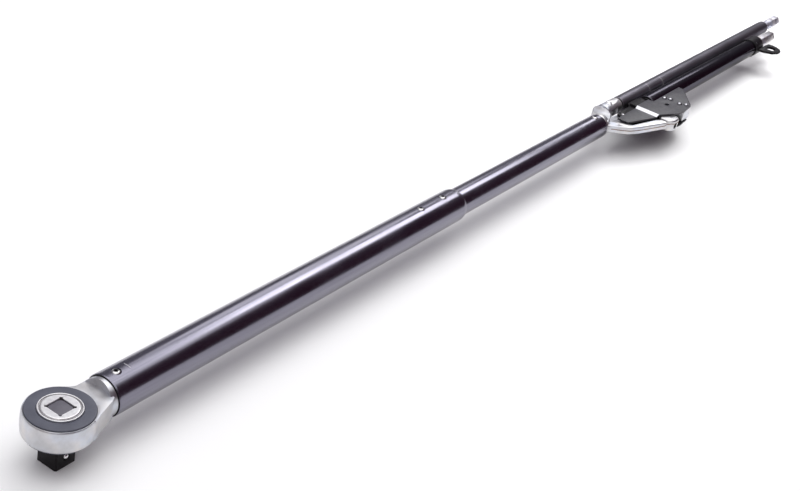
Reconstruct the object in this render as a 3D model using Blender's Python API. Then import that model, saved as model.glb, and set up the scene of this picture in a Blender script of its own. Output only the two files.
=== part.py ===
"""Large break-back torque wrench: a one-inch-square ratchet head on a two-stage tube, and behind it
a pivoted handle with side plates, a trip latch and a spring tube that sets the torque.

Units are metres. The ratchet turns about Z, the tubes run along +X, and the origin is the centre of
the square drive's end face. Places below are given from the ratchet's centre, on the beam's axis.
"""

import math

import bmesh
import bpy
from mathutils import Matrix, Vector

# Overall layout
AXIS_Z = 0.047
GAP = 0.0003
BIG_STEPS = 32
SMALL_STEPS = 16
TINY_STEPS = 10

# Ratchet head
RING_R = 0.0356
HEAD_HALF = 0.012
FACED_R = 0.0500
GEAR_BORE_R = 0.0264
GEAR_CHAMBER_HALF = 0.0108
COVER_R = 0.0332
COVER_HOLE_R = 0.0218
COVER_TOP = 0.0135
COVER_BASE = 0.0111
SHANK_R = 0.0208
SHANK_PLUG_R = 0.01905
SHANK_PLUG_END = 0.130

# Ratchet gear and square drive
GEAR_TEETH = 24
GEAR_TIP_R = 0.0259
GEAR_ROOT_R = 0.0242
GEAR_HALF = 0.0105
HUB_R = 0.0214
HUB_TOP = 0.0150
HUB_STEP_R = 0.0185
HUB_STEP_TOP = 0.0155
HUB_BASE = -0.0139
DRIVE_SQUARE = 0.0254
DRIVE_CORNER_R = 0.0170
DRIVE_SHANK = 0.01905
DRIVE_SHOULDER = HUB_BASE - GAP
DRIVE_TOP = 0.0142
BALL_R = 0.0032
BALL_Z = -0.0355
BALL_PROUD = 0.0012
BALL_BORE_DEPTH = 0.0095

# Pawls
PAWL_STARTS = (-64.6, 10.4)
PAWL_PIVOT_R = 0.0295
PAWL_PIVOT_AT = 33.0
PAWL_TIP_AT = 7.0
PAWL_PIN_R = 0.0015
PAWL_BOTTOM = -0.0085
PAWL_TOP = 0.0102
POCKET_BOTTOM = -0.0090

# Tubes of the beam
OUTER_R = 0.0225
OUTER_BORE_R = 0.01940
OUTER_START = 0.0552
OUTER_END = 0.6932
INNER_R = 0.01905
INNER_BORE_R = 0.01655
INNER_START = 0.520
INNER_END = 1.124
HEAD_SCREW_X = 0.0695
SLEEVE_SCREWS_X = (0.6054, 0.6574)
END_SCREW_X = 1.108
SCREW_HEAD_R = 0.0048
SCREW_HEAD_H = 0.0030
SCREW_SHANK_R = 0.0030

# Joint axes and parallel tube axes behind the beam
PIVOT = (1.195, -0.0118)
EYE = (1.203, 0.0196)
LATCH = (1.292, -0.0460)
HANDLE_Y = PIVOT[1]
SPRING_Y = EYE[1]

# End forging and trip arm
FORGING_HALF = 0.012
ARM_HALF = 0.0060
TONGUE_HALF = 0.0050
EYE_LUG_R = 0.0100
PIVOT_LUG_HALF = 0.0030
PIVOT_LUG_R = 0.0085
PIN_R = 0.0040
BLOCK_BOTTOM = -0.0090
BLOCK_TOP = 0.0100
TRIP_SCREW = (1.254, -0.0800)

# Handle
HANDLE_R = 0.0160
HANDLE_BORE_R = 0.0135
HANDLE_START = 1.287
HANDLE_END = 1.812
PLATE_T = 0.0030
PLATE_LOW = 0.0068
JOGGLE = 0.0040
JOGGLE_START = 1.2330
JOGGLE_END = 1.2375
LEVER_HALF = 0.0065
WEB_HALF = 0.0104
RIVETS = ((1.3150, -0.0303), (1.3200, -0.0390), (1.3166, -0.0573), (1.3236, -0.0666))
RIVET_R = 0.0015
RIVET_HEAD_R = 0.0044
RIVET_HEAD_H = 0.0024
CLAMP_R = 0.0174
CLAMP_START = 1.772
CLAMP_END = 1.812
LUG_HALF = 0.0022
LUG_SLOT = (1.8175, -0.0440)
LUG_SLOT_HALF = (0.0118, 0.0088)
PLUG_TIP = 1.900

# Spring tube and tension link
SPRING_TUBE_R = 0.0127
SPRING_TUBE_BORE_R = 0.0107
SPRING_TUBE_START = 1.2405
SPRING_TUBE_END = 1.941
CLEVIS_R = 0.0132
CLEVIS_START = 1.1850
CLEVIS_END = 1.2345
ROD_R = 0.0050
ROD_START = 1.2200
ROD_END = 1.505
BUSH_START = 1.2420
BUSH_END = 1.2620
SPRING_START = 1.2624
SPRING_END = 1.4620
SPRING_TURNS = 16
NUT_START = SPRING_END + GAP
NUT_END = 1.4743
STUD_R = 0.0061
STUD_START = 1.4400
STUD_END = 1.4780
ADJUSTER_SHAFT_R = 0.0062
HEX_START = 1.971
HEX_END = 2.018
HEX_GROOVE = (1.9900, 1.9940)
ADJUSTER_COLLAR_R = 0.0086
ADJUSTER_COLLAR_START = 1.9470

# Trip latch
ROLLER = (1.262, -0.0522)
ROLLER_R = 0.0050


def clear_scene():
    for obj in list(bpy.data.objects):
        bpy.data.objects.remove(obj, do_unlink=True)


def make_material(name, colour, roughness, metallic):
    material = bpy.data.materials.new(name)
    material.use_nodes = True
    shader = material.node_tree.nodes["Principled BSDF"]
    shader.inputs["Base Color"].default_value = (*colour, 1.0)
    shader.inputs["Roughness"].default_value = roughness
    shader.inputs["Metallic"].default_value = metallic
    return material


def make_frame(name, x, y):
    """An empty on a vertical joint axis, at the height of the beam."""
    frame = bpy.data.objects.new(name, None)
    frame.location = (x, y, AXIS_Z)
    bpy.context.scene.collection.objects.link(frame)
    return frame


def add_object(name, shape, frame, look=None, at=(0, 0, 0)):
    """Turn a bmesh into an object at a place given from the ratchet's centre."""
    bmesh.ops.recalc_face_normals(shape, faces=shape.faces)
    mesh = bpy.data.meshes.new(name)
    shape.to_mesh(mesh)
    shape.free()
    mesh.shade_smooth()
    mesh.set_sharp_from_angle(angle=math.radians(32))
    obj = bpy.data.objects.new(name, mesh)
    bpy.context.scene.collection.objects.link(obj)
    obj.parent = frame
    centre = Vector((frame.location.x, frame.location.y, 0))
    obj.location = Vector(at) - centre
    if look:
        mesh.materials.append(look)
    return obj


def helper(name, shape, frame, at=(0, 0, 0)):
    """A shape that only serves a Boolean."""
    obj = add_object(name, shape, frame, at=at)
    obj.hide_render = True
    obj.display_type = "WIRE"
    return obj


def boolean(target, other, operation):
    modifier = target.modifiers.new(other.name, "BOOLEAN")
    modifier.operation = operation
    modifier.solver = "EXACT"
    modifier.object = other


def cut(target, other):
    boolean(target, other, "DIFFERENCE")


def join(target, other):
    boolean(target, other, "UNION")


def turned(profile, steps, axis="Z", closed=False):
    """Turn (radius, height) points about an axis. A closed profile makes a ring with a bore."""
    shape = bmesh.new()
    rings = []
    for radius, height in profile:
        if radius < 1e-9:
            rings.append([shape.verts.new((0, 0, height))] * steps)
            continue
        angles = [2 * math.pi * (i + 0.5) / steps for i in range(steps)]
        ring = [(radius * math.cos(a), radius * math.sin(a), height) for a in angles]
        rings.append([shape.verts.new(point) for point in ring])
    pairs = list(zip(rings, rings[1:]))
    if closed:
        pairs.append((rings[-1], rings[0]))
    for low, high in pairs:
        for i in range(steps):
            j = (i + 1) % steps
            corners = []
            for vert in (low[i], low[j], high[j], high[i]):
                if vert not in corners:
                    corners.append(vert)
            shape.faces.new(corners)
    if axis == "X":
        shape.transform(Matrix.Rotation(math.pi / 2, 4, "Y"))
    if axis == "Y":
        shape.transform(Matrix.Rotation(-math.pi / 2, 4, "X"))
    return shape


def rod(radius, start, end, steps, axis="Z", edge=0.0):
    """A solid round bar with small chamfers."""
    profile = [(0, start), (radius - edge, start), (radius, start + edge)]
    profile += [(radius, end - edge), (radius - edge, end), (0, end)]
    if not edge:
        profile = [(0, start), (radius, start), (radius, end), (0, end)]
    return turned(profile, steps, axis)


def sleeve(bore, radius, start, end, steps, axis="X", edge=0.0):
    """A round tube, with chamfered outer edges where an edge is given."""
    profile = [(bore, start), (radius - edge, start), (radius, start + edge)]
    profile += [(radius, end - edge), (radius - edge, end), (bore, end)]
    if not edge:
        profile = [(bore, start), (radius, start), (radius, end), (bore, end)]
    return turned(profile, steps, axis, closed=True)


def prism(outline, low, high):
    """Extrude a plan outline from one height to another."""
    shape = bmesh.new()
    base = shape.faces.new([shape.verts.new((x, y, low)) for x, y in outline])
    grown = bmesh.ops.extrude_face_region(shape, geom=[base])["geom"]
    tops = [item for item in grown if isinstance(item, bmesh.types.BMVert)]
    bmesh.ops.translate(shape, verts=tops, vec=(0, 0, high - low))
    return shape


def arc(cx, cy, radius, start, end, count):
    """Points of an arc, with its angles in degrees."""
    angles = [math.radians(start + (end - start) * i / count) for i in range(count + 1)]
    return [(cx + radius * math.cos(a), cy + radius * math.sin(a)) for a in angles]


def soften(obj, width, segments=1, angle=35):
    modifier = obj.modifiers.new("edges", "BEVEL")
    modifier.width = width
    modifier.segments = segments
    modifier.limit_method = "ANGLE"
    modifier.angle_limit = math.radians(angle)


def slot_outline(cx, cy, length, width, along_y=False):
    """A straight slot with round ends."""
    half = (length - width) / 2
    points = arc(half, 0, width / 2, -90, 90, 6) + arc(-half, 0, width / 2, 90, 270, 6)
    if along_y:
        points = [(-y, x) for x, y in points]
    return [(cx + x, cy + y) for x, y in points]


def square_outline(side, corner_r):
    """A square whose corners are cut by a circle about its centre."""
    half = side / 2
    tilt = math.degrees(math.acos(half / corner_r))
    points = []
    for quarter in range(4):
        points += arc(0, 0, corner_r, 90 * quarter + tilt, 90 * quarter + 90 - tilt, 3)
    return points


def hexagon(across_flats, turn=0.0):
    corner = across_flats / math.sqrt(3)
    return arc(0, 0, corner, turn, turn + 300, 5)


def head_blank(frame, look):
    """The forged ring, its offset neck and the round shank that enters the outer tube."""
    barrel = [
        (GEAR_BORE_R, -GEAR_CHAMBER_HALF),
        (COVER_R + GAP, -GEAR_CHAMBER_HALF),
        (COVER_R + GAP, -HEAD_HALF),
        (0.0343, -HEAD_HALF),
        (0.0350, -0.0104),
        (0.0355, -0.0050),
        (RING_R, 0.0),
        (0.0355, 0.0050),
        (0.0350, 0.0104),
        (0.0343, HEAD_HALF),
        (COVER_R + GAP, HEAD_HALF),
        (COVER_R + GAP, GEAR_CHAMBER_HALF),
        (GEAR_BORE_R, GEAR_CHAMBER_HALF),
    ]
    head = add_object("ratchet_head", turned(barrel, BIG_STEPS, closed=True), frame, look)
    neck_plan = [
        (0.0140, -0.0325),
        (0.0220, -0.0292),
        (0.0440, -0.0222),
        (0.0500, -0.0190),
        (0.0500, 0.0130),
        (0.0400, 0.0156),
        (0.0318, 0.0185),
        (0.0250, 0.0245),
    ]
    neck_plan += arc(0, 0, 0.0345, 44, -66, 8)
    join(head, helper("neck_stock", prism(neck_plan, -HEAD_HALF, HEAD_HALF), frame))
    shank = turned(
        [
            (0, 0.0380),
            (SHANK_R, 0.0380),
            (SHANK_R, 0.0545),
            (SHANK_PLUG_R, 0.0549),
            (SHANK_PLUG_R, SHANK_PLUG_END - 0.002),
            (SHANK_PLUG_R - 0.002, SHANK_PLUG_END),
            (0, SHANK_PLUG_END),
        ],
        BIG_STEPS,
        "X",
    )
    join(head, helper("shank_stock", shank, frame))
    for name, low, high in (("face_cut_top", HEAD_HALF, 0.03), ("face_cut_bottom", -0.03, -HEAD_HALF)):
        cut(head, helper(name, rod(FACED_R, low, high, BIG_STEPS), frame))
    for index, start in enumerate(PAWL_STARTS):
        pocket = arc(0, 0, 0.0326, start, start + 40, 8) + arc(0, 0, 0.0250, start + 40, start, 8)
        cut(head, helper(f"pawl_pocket_{index}", prism(pocket, POCKET_BOTTOM, 0.0115), frame))
        x, y = polar(PAWL_PIVOT_R, start + PAWL_PIVOT_AT)
        seat = rod(PAWL_PIN_R + GAP, -0.0105, POCKET_BOTTOM + 0.001, TINY_STEPS)
        cut(head, helper(f"pawl_seat_{index}", seat, frame, (x, y, 0)))
    hole = rod(SCREW_SHANK_R + GAP, 0.008, 0.022, SMALL_STEPS)
    cut(head, helper("head_screw_hole", hole, frame, (HEAD_SCREW_X, 0, 0)))


def polar(radius, degrees):
    angle = math.radians(degrees)
    return radius * math.cos(angle), radius * math.sin(angle)


def covers(frame, look):
    for name, low, high in (("top_cover", COVER_BASE, COVER_TOP), ("bottom_cover", HUB_BASE, -COVER_BASE)):
        add_object(name, sleeve(COVER_HOLE_R, COVER_R, low, high, BIG_STEPS, "Z", 0.0004), frame, look)


def gear(frame, look):
    """The toothed hub, with a square hole that has relieved corners."""
    pitch = 360 / GEAR_TEETH
    outline = []
    for tooth in range(GEAR_TEETH):
        outline.append(polar(GEAR_TIP_R, tooth * pitch))
        outline.append(polar(GEAR_ROOT_R, tooth * pitch + 1.5))
    body = add_object("ratchet_gear", prism(outline, -GEAR_HALF, GEAR_HALF), frame, look)
    hub = [
        (0, HUB_BASE),
        (HUB_R - 0.0006, HUB_BASE),
        (HUB_R, HUB_BASE + 0.0006),
        (HUB_R, HUB_TOP - 0.0006),
        (HUB_R - 0.0006, HUB_TOP),
        (HUB_STEP_R + 0.0004, HUB_TOP),
        (HUB_STEP_R, HUB_STEP_TOP),
        (0, HUB_STEP_TOP),
    ]
    join(body, helper("hub_stock", turned(hub, BIG_STEPS), frame))
    half = DRIVE_SHANK / 2 + GAP
    hole = [(-half, -half), (half, -half), (half, half), (-half, half)]
    cut(body, helper("hub_square_hole", prism(hole, -0.02, 0.02), frame))
    for quarter in range(4):
        x, y = polar(0.0129, 45 + 90 * quarter)
        relief = rod(0.0013, -0.021, 0.021, TINY_STEPS)
        cut(body, helper(f"corner_relief_{quarter}", relief, frame, (x, y, 0)))


def drive(frame, look):
    """The one-inch output square below its smaller square shank."""
    output = prism(square_outline(DRIVE_SQUARE, DRIVE_CORNER_R), -AXIS_Z, DRIVE_SHOULDER)
    body = add_object("square_drive", output, frame, look)
    soften(body, 0.0010, 1, 50)
    shank = prism(square_outline(DRIVE_SHANK, 0.0126), DRIVE_SHOULDER - 0.004, DRIVE_TOP)
    join(body, helper("drive_shank", shank, frame))
    face = -DRIVE_SQUARE / 2
    bore = rod(BALL_R + GAP, face - 0.004, face + BALL_BORE_DEPTH, SMALL_STEPS, "Y")
    cut(body, helper("ball_bore", bore, frame, (0, 0, BALL_Z)))


def detent(ratchet, ball_frame, ball_look, spring_look):
    """The sprung ball that holds a socket, and the spring behind it."""
    shape = bmesh.new()
    bmesh.ops.create_uvsphere(shape, u_segments=12, v_segments=8, radius=BALL_R)
    centre = -DRIVE_SQUARE / 2 + BALL_R - BALL_PROUD
    add_object("detent_ball", shape, ball_frame, ball_look, (0, centre, BALL_Z))
    start = centre + BALL_R + GAP
    end = -DRIVE_SQUARE / 2 + BALL_BORE_DEPTH - GAP
    spring = coil(0.0022, 0.00035, start, end, 4, 8, 3)
    spring.transform(Matrix.Rotation(math.pi / 2, 4, "Z"))
    add_object("detent_spring", spring, ratchet, spring_look, (0, 0, BALL_Z))


def coil(mean_r, wire_r, start, end, turns, per_turn, sides):
    """A round-wire coil along X, with its end turns lying inside the given length."""
    shape = bmesh.new()
    count = turns * per_turn
    rise = (end - start - 2 * wire_r) / count
    rings = []
    for i in range(count + 1):
        angle = 2 * math.pi * i / per_turn
        out = Vector((0, math.cos(angle), math.sin(angle)))
        centre = out * mean_r + Vector((start + wire_r + rise * i, 0, 0))
        ring = []
        for k in range(sides):
            turn = 2 * math.pi * k / sides
            offset = math.cos(turn) * out + Vector((math.sin(turn), 0, 0))
            ring.append(shape.verts.new(centre + wire_r * offset))
        rings.append(ring)
    for low, high in zip(rings, rings[1:]):
        for k in range(sides):
            shape.faces.new((low[k], low[(k + 1) % sides], high[(k + 1) % sides], high[k]))
    shape.faces.new(rings[0])
    shape.faces.new(rings[-1])
    return shape


def pawls(frame, pawl_frames, steel, pin_look, spring_look):
    """Two hooked pawls on fixed pins, each with a leaf spring at its back."""
    for index, start in enumerate(PAWL_STARTS):
        letter = "ab"[index]
        px, py = polar(PAWL_PIVOT_R, start + PAWL_PIVOT_AT)
        nose = [polar(0.0268, start + 16), polar(0.0247, start + PAWL_TIP_AT + 0.4)]
        nose += [polar(0.0262, start + PAWL_TIP_AT), polar(0.0288, start + 10)]
        back = [polar(0.0304, start + a) for a in (16, 22, 28)]
        side = start + PAWL_PIVOT_AT
        hip = arc(px, py, 0.0026, side - 10, side + 200, 8)
        outline = nose + back + hip
        hook = prism(outline, PAWL_BOTTOM, PAWL_TOP)
        body = add_object(f"pawl_{letter}", hook, pawl_frames[index], steel)
        bore = rod(PAWL_PIN_R + GAP, -0.02, 0.02, TINY_STEPS)
        cut(body, helper(f"pawl_bore_{letter}", bore, pawl_frames[index], (px, py, 0)))
        pin = rod(PAWL_PIN_R, -0.0102, 0.0105, TINY_STEPS)
        add_object(f"pawl_pin_{letter}", pin, frame, pin_look, (px, py, 0))
        leaf = [polar(0.0323, start + a) for a in (3, 9, 15, 21, 26)]
        leaf += [polar(0.0319, start + a) for a in (26, 21, 15, 9, 3)]
        add_object(f"pawl_spring_{letter}", prism(leaf, -0.004, 0.004), frame, spring_look)


def button_screw(name, frame, look, x, seat, tip, hex_size=0.0040):
    """A round-headed socket screw that stands in the top of a tube."""
    head = [
        (0, tip),
        (SCREW_SHANK_R, tip),
        (SCREW_SHANK_R, seat),
        (SCREW_HEAD_R, seat),
        (SCREW_HEAD_R, seat + 0.0006),
        (SCREW_HEAD_R * 0.86, seat + 0.0018),
        (SCREW_HEAD_R * 0.58, seat + 0.0027),
        (SCREW_HEAD_R * 0.30, seat + SCREW_HEAD_H),
        (0, seat + SCREW_HEAD_H),
    ]
    screw = add_object(name, turned(head, SMALL_STEPS), frame, look, (x, 0, 0))
    socket = prism(hexagon(hex_size, 15), seat + 0.0010, seat + 0.006)
    cut(screw, helper(f"{name}_socket", socket, frame, (x, 0, 0)))


def screw_seat(target, frame, x, floor, bottom, name):
    """A flat-bottomed counterbore with a clearance hole below it."""
    narrow = SCREW_SHANK_R + GAP
    wide = SCREW_HEAD_R + 0.0008
    profile = [(0, bottom), (narrow, bottom), (narrow, floor), (wide, floor), (wide, 0.030), (0, 0.030)]
    cut(target, helper(name, turned(profile, SMALL_STEPS), frame, (x, 0, 0)))


def beam_tubes(frame, look, inner_look):
    """The wide front tube and the narrow tube that slides into its rear."""
    outer = turned(
        [
            (OUTER_BORE_R, OUTER_START),
            (0.0213, OUTER_START),
            (0.0221, OUTER_START + 0.0004),
            (OUTER_R, OUTER_START + 0.0014),
            (OUTER_R, OUTER_END - 0.0095),
            (0.0208, OUTER_END - 0.0012),
            (0.0202, OUTER_END),
            (OUTER_BORE_R, OUTER_END),
        ],
        BIG_STEPS,
        "X",
        closed=True,
    )
    front = add_object("outer_tube", outer, frame, look)
    inner = sleeve(INNER_BORE_R, INNER_R, INNER_START, INNER_END, BIG_STEPS)
    rear = add_object("inner_tube", inner, frame, inner_look)
    screw_seat(front, frame, HEAD_SCREW_X, 0.0203, 0.010, "head_screw_seat")
    for index, x in enumerate(SLEEVE_SCREWS_X):
        screw_seat(front, frame, x, 0.0208, 0.010, f"sleeve_seat_{index}")
        hole = rod(SCREW_SHANK_R + GAP, 0.010, 0.022, SMALL_STEPS)
        cut(rear, helper(f"sleeve_hole_{index}", hole, frame, (x, 0, 0)))
    screw_seat(rear, frame, END_SCREW_X, 0.0176, 0.010, "end_screw_seat")


def beam_screws(frame, dark, bright):
    button_screw("head_screw", frame, dark, HEAD_SCREW_X, 0.0206, 0.0090)
    for index, x in enumerate(SLEEVE_SCREWS_X):
        button_screw(f"sleeve_screw_{index + 1}", frame, bright, x, 0.0211, 0.0145)
    button_screw("end_screw", frame, bright, END_SCREW_X, 0.0179, 0.0085)


def end_forging(frame, look):
    """The forging in the beam's rear end, with a far eye, a pivot tongue and the long trip arm."""
    spigot = turned(
        [
            (0, 1.062),
            (0.0142, 1.062),
            (0.0162, 1.064),
            (0.0162, INNER_END + GAP),
            (0.0186, INNER_END + GAP),
            (0.0188, INNER_END + 0.001),
            (0.0188, 1.1290),
            (0.0170, 1.1320),
            (0.0160, 1.1400),
            (0, 1.1400),
        ],
        BIG_STEPS,
        "X",
    )
    body = add_object("end_forging", spigot, frame, look)
    knuckle = [(1.130, -0.0160), (1.146, -0.0112), (1.1636, -0.0040)]
    knuckle += [(1.1755, 0.0060), (1.1790, 0.0130), (1.1800, 0.0230)]
    knuckle += [(1.1770, 0.0280), (1.1700, 0.0295), (1.1600, 0.0275), (1.1450, 0.0205), (1.130, 0.0160)]
    top = helper("knuckle_stock", prism(knuckle, -FORGING_HALF, FORGING_HALF), frame)
    soften(top, 0.0016, 1, 40)
    join(body, top)
    eye = [(1.170, EYE[1] - 0.0085)] + arc(*EYE, EYE_LUG_R, -90, 90, 10) + [(1.170, EYE[1] + 0.0085)]
    join(body, helper("eye_stock", prism(eye, -TONGUE_HALF, TONGUE_HALF), frame))
    tongue = [(1.150, PIVOT[1] - 0.0080)] + arc(*PIVOT, PIVOT_LUG_R, -90, 90, 10) + [(1.150, 0.0020)]
    join(body, helper("tongue_stock", prism(tongue, -PIVOT_LUG_HALF, PIVOT_LUG_HALF), frame))
    arm = [(1.128, -0.0150), (1.1375, -0.0225), (1.1480, -0.0350), (1.158, -0.0440), (1.172, -0.0505)]
    arm += [(1.188, -0.0562), (1.218, -0.0660), (1.247, -0.0745), (1.247, -0.0567), (1.208, -0.0482)]
    arm += [(1.1725, -0.0394), (1.166, -0.0290), (1.160, -0.0200), (1.150, -0.0100), (1.130, -0.0060)]
    limb = helper("arm_stock", prism(arm, -ARM_HALF, ARM_HALF), frame)
    soften(limb, 0.0012, 1, 50)
    join(body, limb)
    block = [(1.2400, -0.0578), (1.2645, -0.0578), (1.2725, -0.0650), (1.2725, -0.0740)]
    block += [(1.2650, -0.0815), (1.2480, -0.0815), (1.2400, -0.0745)]
    end = helper("block_stock", prism(block, BLOCK_BOTTOM, BLOCK_TOP), frame)
    soften(end, 0.0018, 1, 25)
    join(body, end)
    for name, (x, y) in (("eye_bore", EYE), ("pivot_bore", PIVOT)):
        cut(body, helper(name, rod(PIN_R + GAP, -0.02, 0.02, SMALL_STEPS), frame, (x, y, 0)))
    recess = prism(slot_outline(1.2630, -0.0690, 0.0090, 0.0036), BLOCK_TOP - 0.0025, BLOCK_TOP + 0.004)
    cut(body, helper("block_top_slot", recess, frame))
    mark = prism(slot_outline(1.1500, -0.0265, 0.0070, 0.0032), ARM_HALF - 0.0016, ARM_HALF + 0.004)
    cut(body, helper("arm_top_slot", mark, frame))
    bore = rod(0.0053, -0.0150, 0.0120, SMALL_STEPS, "Y")
    cut(body, helper("trip_screw_bore", bore, frame, (TRIP_SCREW[0], TRIP_SCREW[1] + 0.004, 0)))
    hole = rod(SCREW_SHANK_R + GAP, 0.008, 0.022, SMALL_STEPS)
    cut(body, helper("end_screw_bore", hole, frame, (END_SCREW_X, 0, 0)))


def trip_screw(frame, look):
    """The set screw in the arm's block, with a square socket in its outer end."""
    x, y = TRIP_SCREW
    shank = rod(0.0050, 0.0, 0.0145, SMALL_STEPS, "Y", 0.0004)
    screw = add_object("trip_screw", shank, frame, look, (x, y, 0))
    socket = prism([(-0.002, -0.002), (0.002, -0.002), (0.002, 0.002), (-0.002, 0.002)], -0.002, 0.005)
    socket.transform(Matrix.Rotation(math.radians(-90), 4, "X"))
    cut(screw, helper("trip_screw_socket", socket, frame, (x, y, 0)))


def pivot_pins(frame, look):
    """The handle's pivot pin, and the eye pin with its dished head."""
    half = LEVER_HALF
    pivot = [
        (0, -half),
        (PIN_R, -half),
        (PIN_R, half - 0.0010),
        (0.0030, half),
        (0.0030, half + 0.0012),
        (0, half + 0.0016),
    ]
    add_object("pivot_pin", turned(pivot, SMALL_STEPS), frame, look, (*PIVOT, 0))
    high = 0.0120
    eye = [
        (0, -high),
        (PIN_R, -high),
        (PIN_R, high - 0.0016),
        (0.0056, high - 0.0016),
        (0.0056, high + 0.0008),
        (0.0048, high + 0.0016),
        (0.0028, high + 0.0016),
        (0.0020, high - 0.0002),
        (0, high - 0.0006),
    ]
    add_object("eye_pin", turned(eye, SMALL_STEPS), frame, look, (*EYE, 0))


def lever_body(frame, look):
    """The black lever: a fork on the pivot, a plug in the handle tube and a web for two rivets."""
    y = HANDLE_Y
    plan = arc(*PIVOT, 0.0090, 100, 260, 10)
    plan += [(1.2360, -0.0208), (1.2420, -0.0240), (1.2600, -0.0280)]
    plan += [(1.2780, -0.0285), (1.3040, -0.0330)]
    plan += [(1.3080, -0.0440), (1.3300, -0.0450), (1.3400, -0.0400), (1.3400, -0.0282)]
    plan += [(1.2866, -0.0282), (1.2866, 0.0048), (1.2480, 0.0048), (1.2420, -0.0010), (1.2360, -0.0028)]
    body = add_object("handle_lever", prism(plan, -LEVER_HALF, LEVER_HALF), frame, look)
    thick = [(1.2420, -0.0235), (1.2600, -0.0275), (1.2780, -0.0280), (1.3040, -0.0325)]
    thick += [(1.3080, -0.0440), (1.3300, -0.0450), (1.3400, -0.0400), (1.3400, -0.0284)]
    thick += [(1.2864, -0.0284), (1.2864, -0.0010), (1.2420, -0.0010)]
    join(body, helper("lever_web_stock", prism(thick, -WEB_HALF, WEB_HALF), frame))
    join(body, helper("lever_plug", rod(0.0132, 1.2830, 1.325, BIG_STEPS, "X", 0.001), frame, (0, y, 0)))
    relief = prism(arc(*PIVOT, 0.0105, 0, 350, 20), -PIVOT_LUG_HALF - GAP, PIVOT_LUG_HALF + GAP)
    cut(body, helper("lever_fork_slot", relief, frame))
    slot_plan = [(1.170, -0.0300), (1.196, -0.0300), (1.196, 0.0100), (1.170, 0.0100)]
    opening = prism(slot_plan, -0.0033, 0.0033)
    cut(body, helper("lever_fork_mouth", opening, frame))
    cut(body, helper("lever_bore", rod(PIN_R + GAP, -0.02, 0.02, SMALL_STEPS), frame, (*PIVOT, 0)))
    for index, (rx, ry) in enumerate(RIVETS[:2]):
        hole = rod(RIVET_R + GAP, -0.02, 0.02, TINY_STEPS)
        cut(body, helper(f"lever_rivet_hole_{index}", hole, frame, (rx, ry, 0)))


def spacer_block(frame, look):
    """The bright block between the plates' rear corners."""
    plan = [(1.3060, -0.0520), (1.3330, -0.0520), (1.3470, -0.0600), (1.3470, -0.0650)]
    plan += [(1.3340, -0.0725), (1.3080, -0.0725)]
    body = add_object("spacer_block", prism(plan, -WEB_HALF, WEB_HALF), frame, look)
    for index, (rx, ry) in enumerate(RIVETS[2:]):
        hole = rod(RIVET_R + GAP, -0.02, 0.02, TINY_STEPS)
        cut(body, helper(f"spacer_rivet_hole_{index}", hole, frame, (rx, ry, 0)))


def side_plate(name, frame, look, side):
    """A side plate: its low front part steps up to a raised rear part."""
    outline = [
        (1.1660, -0.0152),
        (1.1668, -0.0330),
        (1.1700, -0.0355),
        (1.2355, -0.0548),
        (1.2759, -0.0739),
        (1.2965, -0.0759),
        (1.3300, -0.0733),
        (1.3713, -0.0457),
        (1.3885, -0.0345),
        (1.3898, -0.0245),
        (1.2825, -0.0250),
        (1.2815, -0.0155),
    ]
    shape = prism(outline, PLATE_LOW, PLATE_LOW + PLATE_T)
    for x in (JOGGLE_START, JOGGLE_END):
        parts = shape.verts[:] + shape.edges[:] + shape.faces[:]
        bmesh.ops.bisect_plane(shape, geom=parts, plane_co=(x, 0, 0), plane_no=(1, 0, 0))
    for vert in shape.verts:
        along = (vert.co.x - JOGGLE_START) / (JOGGLE_END - JOGGLE_START)
        vert.co.z += JOGGLE * min(max(along, 0.0), 1.0)
    if side < 0:
        shape.transform(Matrix.Scale(-1, 4, (0, 0, 1)))
    plate = add_object(name, shape, frame, look)
    for index, (x, y) in enumerate(RIVETS):
        hole = rod(RIVET_R + GAP, -0.03, 0.03, TINY_STEPS)
        cut(plate, helper(f"{name}_rivet_hole_{index}", hole, frame, (x, y, 0)))
    oval = prism(slot_outline(1.2930, -0.0450, 0.0110, 0.0066), -0.03, 0.03)
    cut(plate, helper(f"{name}_oval", oval, frame))


def rivets(frame, look):
    """Four dome-headed rivets through both plates."""
    seat = PLATE_LOW + JOGGLE + PLATE_T + GAP
    half = [(RIVET_R, seat), (RIVET_HEAD_R, seat), (RIVET_HEAD_R * 0.87, seat + RIVET_HEAD_H * 0.55)]
    half += [(RIVET_HEAD_R * 0.45, seat + RIVET_HEAD_H * 0.93), (0, seat + RIVET_HEAD_H)]
    profile = [(r, -z) for r, z in reversed(half)] + half
    for index, (x, y) in enumerate(RIVETS):
        add_object(f"plate_rivet_{index + 1}", turned(profile, 12), frame, look, (x, y, 0))


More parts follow.
